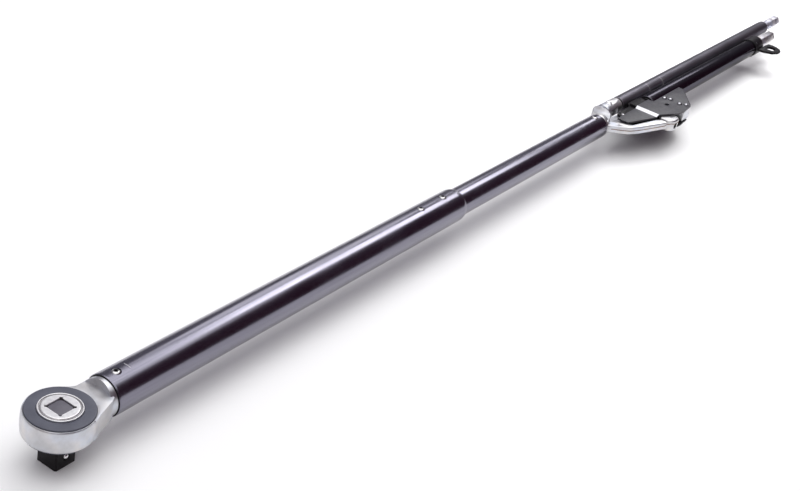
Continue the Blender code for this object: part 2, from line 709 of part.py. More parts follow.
def latch(latch_frame, handle, steel, pin_look, spring_look):
    """The trip latch on its pin, with a roller at its nose and a torsion spring above it."""
    nose = math.degrees(math.atan2(ROLLER[1] - LATCH[1], ROLLER[0] - LATCH[0]))
    plan = arc(*LATCH, 0.0050, nose - 90, nose - 270, 10) + arc(*ROLLER, 0.0036, nose + 90, nose - 90, 8)
    body = add_object("trip_latch", prism(plan, -0.0044, 0.0044), latch_frame, steel)
    tools = (("latch_bore", LATCH, 0.0030 + GAP), ("roller_pin_bore", ROLLER, 0.0018 + GAP))
    for name, (x, y), radius in tools:
        cut(body, helper(name, rod(radius, -0.02, 0.02, SMALL_STEPS), latch_frame, (x, y, 0)))
    slot = rod(ROLLER_R + 0.0012, -0.0022, 0.0022, SMALL_STEPS)
    cut(body, helper("roller_slot", slot, latch_frame, (*ROLLER, 0)))
    roller = sleeve(0.0018 + GAP, ROLLER_R, -0.0019, 0.0019, SMALL_STEPS, "Z")
    add_object("latch_roller", roller, latch_frame, pin_look, (*ROLLER, 0))
    axle = rod(0.0018, -0.0043, 0.0043, TINY_STEPS)
    add_object("roller_pin", axle, latch_frame, pin_look, (*ROLLER, 0))
    top = PLATE_LOW + JOGGLE - GAP
    add_object("latch_pin", rod(0.0030, -top, top, SMALL_STEPS), handle, pin_look, (*LATCH, 0))
    spring = coil(0.0046, 0.0006, 0.0048, 0.0100, 3, 9, 4)
    spring.transform(Matrix.Rotation(-math.pi / 2, 4, "Y"))
    add_object("latch_spring", spring, handle, spring_look, (*LATCH, 0))


def handle_tubes(frame, handle_look, spring_look):
    tube = sleeve(HANDLE_BORE_R, HANDLE_R, HANDLE_START, HANDLE_END, BIG_STEPS)
    add_object("handle_tube", tube, frame, handle_look, (0, HANDLE_Y, 0))
    profile = [
        (SPRING_TUBE_BORE_R, SPRING_TUBE_START),
        (SPRING_TUBE_R - 0.0004, SPRING_TUBE_START),
        (SPRING_TUBE_R, SPRING_TUBE_START + 0.0004),
        (SPRING_TUBE_R, SPRING_TUBE_END - 0.0060),
        (0.0121, SPRING_TUBE_END - 0.0030),
        (0.0106, SPRING_TUBE_END - 0.0008),
        (0.0090, SPRING_TUBE_END),
        (0.0068, SPRING_TUBE_END),
        (0.0068, SPRING_TUBE_END - 0.0120),
        (SPRING_TUBE_BORE_R, SPRING_TUBE_END - 0.0120),
    ]
    shape = turned(profile, 32, "X", closed=True)
    add_object("spring_tube", shape, frame, spring_look, (0, SPRING_Y, 0))


def rear_clamp(frame, look, screw_look):
    """The black end clamp: a ring on the handle tube, a saddle for the spring tube, a slotted lug."""
    ring = sleeve(HANDLE_R + GAP, CLAMP_R, CLAMP_START, CLAMP_END, BIG_STEPS, "X", 0.0008)
    clamp = add_object("end_clamp", ring, frame, look, (0, HANDLE_Y, 0))
    lug = [(1.7860, -0.0286), (1.7885, -0.0410), (1.7980, -0.0545), (1.8110, -0.0615)]
    lug += [(1.8230, -0.0622), (1.8335, -0.0575), (1.8405, -0.0480), (1.8425, -0.0370)]
    lug += [(1.8400, -0.0300), (1.8300, -0.0286), (1.8118, -0.0286)]
    plate = helper("lug_stock", prism(lug, -LUG_HALF, LUG_HALF), frame)
    soften(plate, 0.0008, 1, 50)
    join(clamp, plate)
    saddle = [(1.7750, 0.0012), (1.8090, 0.0012), (1.8090, 0.0150), (1.7750, 0.0150)]
    saddle_stock = helper("saddle_stock", prism(saddle, -0.0175, -0.0080), frame)
    join(clamp, saddle_stock)
    bed = rod(SPRING_TUBE_R + GAP, 1.75, 1.85, BIG_STEPS, "X")
    cut(clamp, helper("saddle_bed", bed, frame, (0, SPRING_Y, 0)))
    bore = rod(HANDLE_R + GAP, 1.75, 1.85, BIG_STEPS, "X")
    cut(clamp, helper("clamp_bore", bore, frame, (0, HANDLE_Y, 0)))
    oval = []
    for x, y in arc(0, 0, 1.0, 0, 340, 17):
        oval.append((LUG_SLOT[0] + LUG_SLOT_HALF[0] * x, LUG_SLOT[1] + LUG_SLOT_HALF[1] * y))
    cut(clamp, helper("lug_slot", prism(oval, -0.02, 0.02), frame))
    angle = math.radians(40)
    out = (-math.sin(angle), math.cos(angle))
    seat = (1.7800, HANDLE_Y + 0.0200 * out[0], 0.0200 * out[1])
    pocket = rod(0.0024, -0.0029, 0.010, SMALL_STEPS)
    pocket.transform(Matrix.Rotation(angle, 4, "X"))
    cut(clamp, helper("clamp_screw_pocket", pocket, frame, seat))
    screw = rod(0.0020, -0.0026, -0.0012, SMALL_STEPS, "Z", 0.0003)
    screw.transform(Matrix.Rotation(angle, 4, "X"))
    add_object("clamp_screw", screw, frame, screw_look, seat)


def end_plug(frame, look):
    """The bright hexagon plug in the handle tube's rear end."""
    plug = turned([(0, 1.770), (0.0130, 1.770), (0.0130, 1.8110), (0, 1.8110)], BIG_STEPS, "X")
    body = add_object("end_plug", plug, frame, look, (0, HANDLE_Y, 0))
    collar = rod(0.0158, HANDLE_END + GAP, 1.818, BIG_STEPS, "X", 0.0006)
    neck = rod(0.0080, 1.805, 1.832, SMALL_STEPS, "X")
    join(body, helper("plug_collar", collar, frame, (0, HANDLE_Y, 0)))
    join(body, helper("plug_neck", neck, frame, (0, HANDLE_Y, 0)))
    hex_bar = prism(hexagon(0.0190, 30), 1.828, PLUG_TIP)
    hex_bar.transform(Matrix.Rotation(math.pi / 2, 4, "Y"))
    tip = helper("plug_hexagon", hex_bar, frame, (0, HANDLE_Y, 0))
    soften(tip, 0.0008, 1, 70)
    join(body, tip)


def tension_link(frame, look, rod_look):
    """The clevis on the eye pin, with the long rod that pulls through the spring tube."""
    clevis = turned(
        [
            (0, CLEVIS_START),
            (0.0112, CLEVIS_START),
            (CLEVIS_R, CLEVIS_START + 0.0022),
            (CLEVIS_R, CLEVIS_END - 0.0006),
            (CLEVIS_R - 0.0006, CLEVIS_END),
            (0, CLEVIS_END),
        ],
        BIG_STEPS,
        "X",
    )
    body = add_object("link_clevis", clevis, frame, look, (0, SPRING_Y, 0))
    mouth = [(1.170, -0.010), (1.2165, -0.010), (1.2165, 0.050), (1.170, 0.050)]
    fork = prism(mouth, -TONGUE_HALF - GAP, TONGUE_HALF + GAP)
    cut(body, helper("clevis_mouth", fork, frame))
    cut(body, helper("clevis_bore", rod(PIN_R + GAP, -0.02, 0.02, SMALL_STEPS), frame, (*EYE, 0)))
    counter = rod(0.0056 + GAP, 0.0101, 0.02, SMALL_STEPS)
    cut(body, helper("clevis_counterbore", counter, frame, (*EYE, 0)))
    socket = rod(ROD_R + GAP, ROD_START - GAP, 1.30, SMALL_STEPS, "X")
    cut(body, helper("clevis_socket", socket, frame, (0, SPRING_Y, 0)))
    shank = rod(ROD_R, ROD_START, ROD_END, SMALL_STEPS, "X", 0.0008)
    add_object("tension_rod", shank, frame, rod_look, (0, SPRING_Y, 0))


def load_spring(handle, seat_frame, adjuster_frame, steel, spring_look, bush_look):
    """Front bush, load spring, thrust nut and the long adjuster with its stud and hexagon end."""
    y = SPRING_Y
    bush = sleeve(0.0068, SPRING_TUBE_BORE_R - GAP, BUSH_START, BUSH_END, SMALL_STEPS)
    add_object("front_bush", bush, handle, bush_look, (0, y, 0))
    spring = coil(0.0088, 0.0016, SPRING_START, SPRING_END, SPRING_TURNS, 8, 4)
    add_object("load_spring", spring, handle, spring_look, (0, y, 0))
    seat = sleeve(STUD_R + GAP, 0.0094, NUT_START, NUT_END, SMALL_STEPS)
    add_object("spring_seat", seat, seat_frame, steel, (0, y, 0))
    profile = [
        (0, ROD_END + 0.020),
        (ROD_R + GAP, ROD_END + 0.020),
        (ROD_R + GAP, STUD_START),
        (STUD_R - 0.0005, STUD_START),
        (STUD_R, STUD_START + 0.0005),
        (STUD_R, STUD_END),
        (0.0094, STUD_END),
        (0.0094, ROD_END + 0.024),
        (ADJUSTER_SHAFT_R, ROD_END + 0.028),
        (ADJUSTER_SHAFT_R, HEX_START + 0.004),
        (0, HEX_START + 0.004),
    ]
    shaft = turned(profile, SMALL_STEPS, "X")
    body = add_object("torque_adjuster", shaft, adjuster_frame, steel, (0, y, 0))
    collar = rod(ADJUSTER_COLLAR_R, ADJUSTER_COLLAR_START, HEX_END - 0.004, SMALL_STEPS, "X", 0.0006)
    join(body, helper("adjuster_collar", collar, adjuster_frame, (0, y, 0)))
    for index, (start, end) in enumerate(((HEX_START, HEX_GROOVE[0]), (HEX_GROOVE[1], HEX_END))):
        nut = prism(hexagon(0.0180, 30), start, end)
        nut.transform(Matrix.Rotation(math.pi / 2, 4, "Y"))
        tip = helper(f"adjuster_hexagon_{index}", nut, adjuster_frame, (0, y, 0))
        soften(tip, 0.0008, 1, 70)
        join(body, tip)


def build():
    clear_scene()
    zinc = make_material("zinc_plate", (0.80, 0.79, 0.77), 0.32, 1.0)
    bright = make_material("bright_steel", (0.86, 0.86, 0.87), 0.20, 1.0)
    gloss_black = make_material("gloss_black", (0.010, 0.010, 0.014), 0.28, 0.0)
    satin_black = make_material("satin_black", (0.016, 0.016, 0.022), 0.42, 0.0)
    charcoal = make_material("charcoal_oxide", (0.045, 0.045, 0.055), 0.45, 0.6)
    drive_black = make_material("black_oxide", (0.012, 0.012, 0.012), 0.38, 0.6)
    spring_steel = make_material("spring_steel", (0.30, 0.30, 0.32), 0.35, 1.0)

    beam = make_frame("beam_frame", 0, 0)
    ratchet = make_frame("ratchet_axis", 0, 0)
    ball = make_frame("detent_axis", 0, 0)
    pawl_frames = []
    for letter, start in zip("ab", PAWL_STARTS):
        pawl_frames.append(make_frame(f"pawl_axis_{letter}", *polar(PAWL_PIVOT_R, start + PAWL_PIVOT_AT)))
    handle = make_frame("handle_pivot", *PIVOT)
    link = make_frame("link_pivot", *EYE)
    seat = make_frame("seat_axis", *EYE)
    adjuster = make_frame("adjuster_axis", *EYE)
    latch_axis = make_frame("latch_axis", *LATCH)

    head_blank(beam, zinc)
    covers(beam, charcoal)
    gear(ratchet, bright)
    drive(ratchet, drive_black)
    detent(ratchet, ball, bright, spring_steel)
    pawls(beam, pawl_frames, spring_steel, bright, spring_steel)
    beam_tubes(beam, gloss_black, gloss_black)
    beam_screws(beam, charcoal, bright)
    end_forging(beam, zinc)
    trip_screw(beam, charcoal)
    pivot_pins(beam, bright)
    lever_body(handle, satin_black)
    spacer_block(handle, zinc)
    side_plate("top_plate", handle, satin_black, 1)
    side_plate("bottom_plate", handle, satin_black, -1)
    rivets(handle, satin_black)
    latch(latch_axis, handle, spring_steel, bright, spring_steel)
    handle_tubes(handle, gloss_black, gloss_black)
    rear_clamp(handle, satin_black, bright)
    end_plug(handle, zinc)
    tension_link(link, zinc, bright)
    load_spring(handle, seat, adjuster, zinc, spring_steel, drive_black)


build()
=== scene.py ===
"""Looks for the torque wrench: finer shapes, materials, studio and camera round the CAD part.

Places come from the CAD nodes' boxes. Lengths are metres, and +X runs from the ratchet head to
the handle.
"""

import math

import bmesh
import bpy
from mathutils import Matrix, Vector


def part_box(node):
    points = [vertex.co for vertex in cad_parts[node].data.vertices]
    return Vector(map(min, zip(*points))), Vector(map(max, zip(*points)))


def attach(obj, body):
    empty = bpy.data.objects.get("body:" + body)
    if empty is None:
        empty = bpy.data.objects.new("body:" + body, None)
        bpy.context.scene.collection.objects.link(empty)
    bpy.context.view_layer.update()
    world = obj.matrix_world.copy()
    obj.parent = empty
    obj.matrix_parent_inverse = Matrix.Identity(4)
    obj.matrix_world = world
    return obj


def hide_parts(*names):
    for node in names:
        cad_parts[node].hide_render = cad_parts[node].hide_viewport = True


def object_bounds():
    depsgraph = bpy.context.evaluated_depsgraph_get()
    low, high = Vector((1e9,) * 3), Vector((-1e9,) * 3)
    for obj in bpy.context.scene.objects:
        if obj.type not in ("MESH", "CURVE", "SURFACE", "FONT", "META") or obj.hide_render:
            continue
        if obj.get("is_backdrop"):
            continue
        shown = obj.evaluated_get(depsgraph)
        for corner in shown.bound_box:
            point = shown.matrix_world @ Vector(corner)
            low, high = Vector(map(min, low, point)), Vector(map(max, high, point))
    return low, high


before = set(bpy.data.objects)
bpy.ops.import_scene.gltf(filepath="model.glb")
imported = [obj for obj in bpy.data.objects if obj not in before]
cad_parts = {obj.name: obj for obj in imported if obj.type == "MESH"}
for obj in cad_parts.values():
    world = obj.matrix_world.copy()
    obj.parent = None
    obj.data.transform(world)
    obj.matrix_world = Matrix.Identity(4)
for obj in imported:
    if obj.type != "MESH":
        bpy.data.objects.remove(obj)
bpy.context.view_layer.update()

# Steps round a turned piece
FINE = 128
SMALL = 40
RING = 160

# Flats round the CAD's turned nodes
NODE_FACETS = 32
SCREW_FACETS = 16
RIVET_FACETS = 12

# How far a cutter runs past what it cuts
OVERRUN = 0.01


def box(node):
    low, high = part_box(node)
    return low, high, (low + high) / 2


def tube_radius(node, axis="y", facets=NODE_FACETS):
    """The radius of a turned CAD node, whose box is short by the facets' sagitta."""
    low, high, _ = box(node)
    width = getattr(high, axis) - getattr(low, axis)
    return width / 2 / math.cos(math.pi / facets)


# Anchors from the frame
AXIS = box("outer_tube")[2]
AXIS_Z = AXIS.z
HEAD_X = box("ratchet_gear")[2].x
HEAD_Y = box("ratchet_gear")[2].y


# Mesh helpers


def turned(profile, steps, axis="Z", closed=False):
    """Turn (radius, height) points about an axis. A closed profile makes a ring with a bore."""
    shape = bmesh.new()
    angles = [2 * math.pi * (i + 0.5) / steps for i in range(steps)]
    rings = []
    for radius, height in profile:
        if radius < 1e-9:
            rings.append([shape.verts.new((0, 0, height))] * steps)
            continue
        around = [(radius * math.cos(a), radius * math.sin(a), height) for a in angles]
        rings.append([shape.verts.new(point) for point in around])
    pairs = list(zip(rings, rings[1:]))
    if closed:
        pairs.append((rings[-1], rings[0]))
    for low, high in pairs:
        for i in range(steps):
            j = (i + 1) % steps
            corners = []
            for vert in (low[i], low[j], high[j], high[i]):
                if vert not in corners:
                    corners.append(vert)
            shape.faces.new(corners)
    if axis == "X":
        shape.transform(Matrix.Rotation(math.pi / 2, 4, "Y"))
    if axis == "Y":
        shape.transform(Matrix.Rotation(-math.pi / 2, 4, "X"))
    return shape


def cylinder(radius, low, high, steps):
    return turned([(0, low), (radius, low), (radius, high), (0, high)], steps)


def rounded(points, radius, count=4):
    """Round the corners of an open (radius, height) profile, apart from its ends."""
    result = [points[0]]
    for before, here, after in zip(points, points[1:], points[2:]):
        a = Vector(before) - Vector(here)
        b = Vector(after) - Vector(here)
        reach = min(radius, a.length * 0.45, b.length * 0.45)
        start = Vector(here) + a.normalized() * reach
        end = Vector(here) + b.normalized() * reach
        for i in range(count + 1):
            t = i / count
            point = start * (1 - t) ** 2 + Vector(here) * 2 * t * (1 - t) + end * t * t
            result.append((point.x, point.y))
    result.append(points[-1])
    return result


def ring_profile(bore, radius, start, end, round_by, stations=()):
    """A closed tube section with rounded edges, and extra rings outside at the stations."""
    middle = (start + end) / 2
    front = [(bore, middle), (bore, start), (radius, start)]
    rear = [(radius, end), (bore, end), (bore, middle)]
    section = rounded(front + rear, round_by)[:-1]
    outside = [point[0] > radius - 1e-7 and point[1] > middle for point in section]
    turn = outside.index(True)
    return section[:turn] + [(radius, along) for along in stations] + section[turn:]


def quarter_round(inner, width, start, reach, count, first=0):
    """A quarter of an ellipse, in by the width while the outline runs along by the reach."""
    corner = [polar(1.0, 90 * i / count) for i in range(first, count + 1)]
    return [(inner + width * x, start + reach * y) for x, y in corner]


def dome(radius, base, rise):
    """The outline of a round head, from its edge up to its middle."""
    return quarter_round(0, radius, base, rise, 9)


def prism(outline, low, high):
    shape = bmesh.new()
    base = shape.faces.new([shape.verts.new((x, y, low)) for x, y in outline])
    grown = bmesh.ops.extrude_face_region(shape, geom=[base])["geom"]
    tops = [item for item in grown if isinstance(item, bmesh.types.BMVert)]
    bmesh.ops.translate(shape, verts=tops, vec=(0, 0, high - low))
    return shape


def polar(radius, degrees):
    angle = math.radians(degrees)
    return radius * math.cos(angle), radius * math.sin(angle)


def arc(radius, start, end, count):
    return [polar(radius, start + (end - start) * i / count) for i in range(count + 1)]


def hexagon(across_flats, turn):
    return arc(across_flats / math.sqrt(3), turn, turn + 300, 5)


def curve_through(points, count):
    """A smooth open line through the points (Catmull-Rom)."""
    ends = [2 * Vector(points[0]) - Vector(points[1])] + [Vector(p) for p in points]
    ends.append(2 * Vector(points[-1]) - Vector(points[-2]))
    line = []
    for i in range(1, len(ends) - 2):
        p0, p1, p2, p3 = ends[i - 1 : i + 3]
        for k in range(count):
            t = k / count
            line.append(
                0.5 * (2 * p1 + (p2 - p0) * t + (2 * p0 - 5 * p1 + 4 * p2 - p3) * t**2
                       + (3 * p1 - p0 - 3 * p2 + p3) * t**3)
            )
    line.append(ends[-2])
    return [(p.x, p.y) for p in line]


def solid(shape, at=(0, 0, 0)):
    """A plain object from a bmesh, moved to a place."""
    bmesh.ops.recalc_face_normals(shape, faces=shape.faces)
    mesh = bpy.data.meshes.new("solid")
    shape.transform(Matrix.Translation(Vector(at)))
    shape.to_mesh(mesh)
    shape.free()
    obj = bpy.data.objects.new("solid", mesh)
    bpy.context.scene.collection.objects.link(obj)
    return obj


def settle(obj):
    """Apply an object's modifiers to its mesh."""
    bpy.context.view_layer.update()
    graph = bpy.context.evaluated_depsgraph_get()
    mesh = bpy.data.meshes.new_from_object(obj.evaluated_get(graph))
    obj.modifiers.clear()
    obj.data = mesh


def combine(target, other, operation):
    """Apply one exact Boolean, and use up the other object."""
    modifier = target.modifiers.new("shape", "BOOLEAN")
    modifier.operation = operation
    modifier.solver = "EXACT"
    modifier.object = other
    settle(target)
    bpy.data.objects.remove(other, do_unlink=True)


def cut(target, shape, at=(0, 0, 0)):
    combine(target, solid(shape, at), "DIFFERENCE")


def join(target, other):
    combine(target, other, "UNION")


def soften(obj, width, segments, angle):
    """Bevel the edges that turn by more than the angle, in degrees."""
    modifier = obj.modifiers.new("edges", "BEVEL")
    modifier.width = width
    modifier.segments = segments
    modifier.limit_method = "ANGLE"
    modifier.angle_limit = math.radians(angle)
    modifier.use_clamp_overlap = True
    settle(obj)


def finished(obj, name, body, look, replaces=(), smooth=34):
    """Name a piece, shade it, give it its material and put it on its body."""
    mesh = obj.data
    mesh.name = name
    obj.name = name
    mesh.materials.clear()
    mesh.materials.append(look)
    mesh.shade_smooth()
    mesh.set_sharp_from_angle(angle=math.radians(smooth))
    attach(obj, body)
    if replaces:
        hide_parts(*replaces)
    return obj


def second_look(obj, look, chosen):
    """Give the chosen faces another material."""
    obj.data.materials.append(look)
    for face in obj.data.polygons:
        if chosen(face):
            face.material_index = 1


def copy_of(node):
    """A new object with a CAD node's shape, its flat faces merged back into one each."""
    shape = bmesh.new()
    shape.from_mesh(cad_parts[node].data)
    bmesh.ops.remove_doubles(shape, verts=shape.verts, dist=2e-6)
    flat = math.radians(0.6)
    bmesh.ops.dissolve_limit(
        shape,
        angle_limit=flat,
        verts=shape.verts,
        edges=shape.edges,
        use_dissolve_boundaries=False,
    )
    return solid(shape)


def refined(node, name, body, look, width, segments=3, angle=30):
    """A CAD node's own shape as a finished piece, its edges softened where a width is given."""
    piece = copy_of(node)
    if width:
        soften(piece, width, segments, angle)
    return finished(piece, name, body, look, [node])


# Materials


class Tree:
    """A short way to add shader nodes and link them."""

    def __init__(self, tree):
        self.tree = tree

    def feed(self, socket, source):
        """Link a socket to another, or set its value."""
        if isinstance(source, bpy.types.NodeSocket):
            self.tree.links.new(source, socket)
        else:
            socket.default_value = source

    def add(self, kind, inputs):
        node = self.tree.nodes.new(kind)
        for socket, source in inputs.items():
            self.feed(node.inputs[socket], source)
        return node

    def ramp(self, source, low, high, from_low=0.0, from_high=1.0):
        """Map a value that runs between the last two numbers to run between the first two."""
        ends = {"From Min": from_low, "From Max": from_high, "To Min": low, "To Max": high}
        return self.add("ShaderNodeMapRange", {"Value": source, **ends}).outputs["Result"]

    def mix(self, factor, a, b):
        """Mix two colours, each an (r, g, b) or a socket."""
        node = self.tree.nodes.new("ShaderNodeMix")
        node.data_type = "RGBA"
        self.feed(node.inputs[0], factor)
        for index, value in ((6, a), (7, b)):
            linked = isinstance(value, bpy.types.NodeSocket)
            self.feed(node.inputs[index], value if linked else (*value, 1.0))
        return node.outputs[2]


class Look(Tree):
    """A new material with its Principled shader, and noise laid out in the object's own space."""

    def __init__(self, name):
        self.material = bpy.data.materials.new(name)
        self.material.use_nodes = True
        super().__init__(self.material.node_tree)
        self.shader = self.tree.nodes["Principled BSDF"]
        self.place = self.tree.nodes.new("ShaderNodeTexCoord").outputs["Object"]

    def noise(self, scale, detail=3.0, stretch=(1, 1, 1)):
        mapping = self.add("ShaderNodeMapping", {"Vector": self.place, "Scale": stretch})
        vector = mapping.outputs["Vector"]
        settings = {"Vector": vector, "Scale": scale, "Detail": detail, "Roughness": 0.55}
        return self.add("ShaderNodeTexNoise", settings).outputs["Fac"]

    def colour(self, source):
        self.feed(self.shader.inputs["Base Color"], source)

    def roughness(self, source, low, high, from_low=0.3, from_high=0.7):
        spread = self.ramp(source, low, high, from_low, from_high)
        self.feed(self.shader.inputs["Roughness"], spread)

    def bump(self, source, strength, distance, under=None):
        """Raise the surface by a noise, on top of another bump where one is given."""
        inputs = {"Height": source, "Strength": strength, "Distance": distance}
        if under:
            inputs["Normal"] = under
        normal = self.add("ShaderNodeBump", inputs).outputs["Normal"]
        self.feed(self.shader.inputs["Normal"], normal)
        return normal


def zinc_look(name, tone, dark, rough):
    """Zinc plate over a shot-blasted forging: soft clouds, a warm and cool tint, fine grain."""
    look = Look(name)
    look.shader.inputs["Metallic"].default_value = 1.0
    clouds = look.noise(60.0, 4.0)
    grain = look.noise(1400.0, 2.0)
    factor = look.ramp(clouds, 0.0, 1.0, 0.35, 0.7)
    warm = (tone[0] * 1.04, tone[1], tone[2] * 0.95)
    cool = (tone[0] * 0.95, tone[1], tone[2] * 1.08)
    tint = look.mix(look.ramp(look.noise(34.0, 2.0), 0.0, 1.0, 0.38, 0.62), warm, cool)
    look.colour(look.mix(factor, tint, dark))
    look.roughness(look.noise(140.0, 4.0), *rough)
    under = look.bump(look.noise(220.0, 3.0), 0.12, 0.0003)
    look.bump(grain, 0.16, 0.00006, under)
    return look.material


def bright_look(name, tone, rough, cloud=0.86):
    """Machined or plated steel, with faint clouds and a very fine grain."""
    look = Look(name)
    look.shader.inputs["Metallic"].default_value = 1.0
    factor = look.ramp(look.noise(90.0, 3.0), 0.0, 1.0, 0.35, 0.7)
    look.colour(look.mix(factor, tone, tuple(c * cloud for c in tone)))
    look.roughness(look.noise(260.0, 3.0), *rough)
    look.bump(look.noise(900.0, 2.0), 0.06, 0.00005)
    return look.material


def tube_look(name, tone, dark, rough, edge=1.0):
    """Dark burnished tube: drawn along X, with fine grain and long faint streaks."""
    look = Look(name)
    look.shader.inputs["Metallic"].default_value = 1.0
    look.shader.inputs["Specular Tint"].default_value = (edge, edge, edge, 1.0)
    streaks = look.noise(420.0, 4.0, (0.02, 1, 1))
    clouds = look.noise(16.0, 3.0)
    fine = look.noise(2600.0, 2.0)
    look.colour(look.mix(look.ramp(streaks, 0.0, 1.0, 0.25, 0.75), tone, dark))
    look.roughness(clouds, *rough)
    under = look.bump(streaks, 0.05, 0.00006)
    look.bump(fine, 0.10, 0.00004, under)
    return look.material


def paint_look(name, tone, light, rough, gloss=0.5):
    """Black coating on sheet or casting: fine orange peel and slightly rubbed places."""
    look = Look(name)
    look.shader.inputs["Specular IOR Level"].default_value = gloss
    clouds = look.noise(70.0, 4.0)
    look.colour(look.mix(look.ramp(clouds, 0.0, 1.0, 0.3, 0.75), tone, light))
    look.roughness(look.noise(160.0, 3.0), *rough)
    under = look.bump(look.noise(700.0, 2.0), 0.10, 0.00008)
    look.bump(look.noise(2400.0, 2.0), 0.10, 0.00004, under)
    return look.material


def white_mark_look():
    look = Look("white_mark")
    look.colour(look.mix(look.noise(900.0, 3.0), (0.48, 0.47, 0.50), (0.62, 0.61, 0.63)))
    look.roughness(look.noise(500.0), 0.35, 0.6, 0.0, 1.0)
    look.bump(look.noise(1800.0), 0.08, 0.00004)
    return look.material


# Zinc: tone, darker clouds, roughness
ZINC = zinc_look("satin_zinc", (0.64, 0.64, 0.66), (0.51, 0.51, 0.525), (0.30, 0.46))
ZINC_DULL = zinc_look("dull_zinc", (0.58, 0.56, 0.57), (0.40, 0.38, 0.39), (0.30, 0.48))
SILVER = zinc_look("silver_plate", (0.58, 0.58, 0.64), (0.46, 0.46, 0.51), (0.42, 0.56))
FLASH = zinc_look("trimmed_flash", (0.26, 0.17, 0.13), (0.15, 0.10, 0.08), (0.40, 0.60))

# Bright steel: tone, roughness, how dark its clouds are
BRIGHT = bright_look("bright_steel", (0.90, 0.90, 0.90), (0.14, 0.24))
HUB_STEEL = bright_look("hub_steel", (0.94, 0.935, 0.94), (0.28, 0.38), 0.94)
# Darker steel for the hub's groove: painted shade in the recess round the boss
GROOVE_PAINTED_SHADE = bright_look("groove_painted_shade", (0.42, 0.41, 0.42), (0.34, 0.48))
DARK_STEEL = bright_look("dark_steel", (0.10, 0.10, 0.11), (0.30, 0.42))
SCREW = bright_look("screw_steel", (0.56, 0.55, 0.56), (0.18, 0.30))
SPRING_STEEL = bright_look("spring_steel", (0.42, 0.42, 0.44), (0.28, 0.40))
# Lighter steel on the plates' joggle slopes: a painted highlight where the bend catches the light
JOGGLE_HIGHLIGHT = bright_look("joggle_painted_highlight", (0.64, 0.64, 0.67), (0.34, 0.46))
RIVET = bright_look("rivet_black", (0.27, 0.27, 0.29), (0.10, 0.18))

# Tubes: tone, darker streaks, roughness, tint at a grazing view
MAIN_TUBE = tube_look(
    "burnished_tube", (0.228, 0.221, 0.268), (0.178, 0.172, 0.211), (0.18, 0.25)
)
SLIM_TUBE = tube_look(
    "satin_tube", (0.275, 0.263, 0.298), (0.216, 0.207, 0.236), (0.34, 0.42), 0.30
)
HANDLE_TUBE = tube_look(
    "gloss_tube", (0.155, 0.149, 0.172), (0.122, 0.117, 0.136), (0.14, 0.20), 0.38
)

# Black coatings: tone, rubbed places, roughness, gloss
CHARCOAL = paint_look(
    "charcoal_disc", (0.066, 0.070, 0.096), (0.094, 0.099, 0.130), (0.38, 0.50)
)
DRIVE_BLACK = paint_look(
    "black_oxide", (0.003, 0.0015, 0.0025), (0.006, 0.004, 0.006), (0.26, 0.38), 0.16
)
# Lighter oxide, laid on the drive's top face only
DRIVE_TOP_OXIDE = paint_look(
    "drive_top_oxide", (0.095, 0.090, 0.112), (0.135, 0.129, 0.155), (0.35, 0.50)
)
# The castings' black coating, made deeper than the plates as painted shade; also laid as painted
# shade in the block's screw bore, on its screw and on the lower plate
CASTING_AND_SHADE = paint_look(
    "casting_black_and_painted_shade", (0.003, 0.002, 0.003), (0.007, 0.006, 0.008), (0.38, 0.50), 0.14
)
PLATE = paint_look(
    "plate_black", (0.026, 0.025, 0.032), (0.041, 0.040, 0.049), (0.40, 0.52), 0.45
)
# Near-black laid on as painted shade: the tubes' end faces and the screws' hexagon sockets
PAINTED_SHADE_BLACK = paint_look(
    "painted_shade_black", (0.004, 0.003, 0.005), (0.010, 0.009, 0.012), (0.40, 0.55), 0.25
)

MARK = white_mark_look()


# Head

HEAD_HALF = 0.012  # Half the forging's thickness
COVER_RECESS = 0.0012
RING_CORE_R = 0.0341  # Inside the ring's wall, where the neck's root is cut off
SHANK_R = 0.0208
PLUG_R = 0.01905  # The part of the shank inside the front tube

# How far the ring's outside falls back, at each share of the half thickness
BARREL = [(0.0013, -1), (0.0006, -0.87), (0.0001, -0.4), (0, 0)]
BARREL += [(0.0001, 0.4), (0.0006, 0.87), (0.0013, 1)]

# The neck's two edges in plan, from the ring's centre
NECK_FAR = [(0.0110, 0.0325), (0.0225, 0.0262), (0.0318, 0.0187)]
NECK_FAR += [(0.0400, 0.0158), (0.0500, 0.0130)]
NECK_NEAR = [(0.0500, -0.0190), (0.0440, -0.0221), (0.0220, -0.0292), (0.0120, -0.0332)]

HUB_R = 0.0214
BOSS_R = 0.0185
COVER_BORE_R = 0.0218
GROOVE_WIDTH = 0.0017
GROOVE_DEPTH = 0.0014

TEETH = 24
TOOTH_TIP_R = 0.0259
TOOTH_ROOT_R = 0.0242
TOOTH_SKEW = 1.5  # Degrees from a tooth's tip to its root on the steep side
TOOTH_HALF_HEIGHT = 0.0105

SQUARE_HOLE_HALF = 0.009825
RELIEF_R = 0.0014  # The round reliefs in the square hole's corners
RELIEF_REACH = 0.0131

OUTPUT_CORNER_R = 0.0170  # Across the corners of the output square
OUTPUT_SHOULDER = 0.0142  # From the wrench's axis down to the output square
DRIVE_SHANK_SIDE = 0.01905
DRIVE_SHANK_CORNER_R = 0.0115


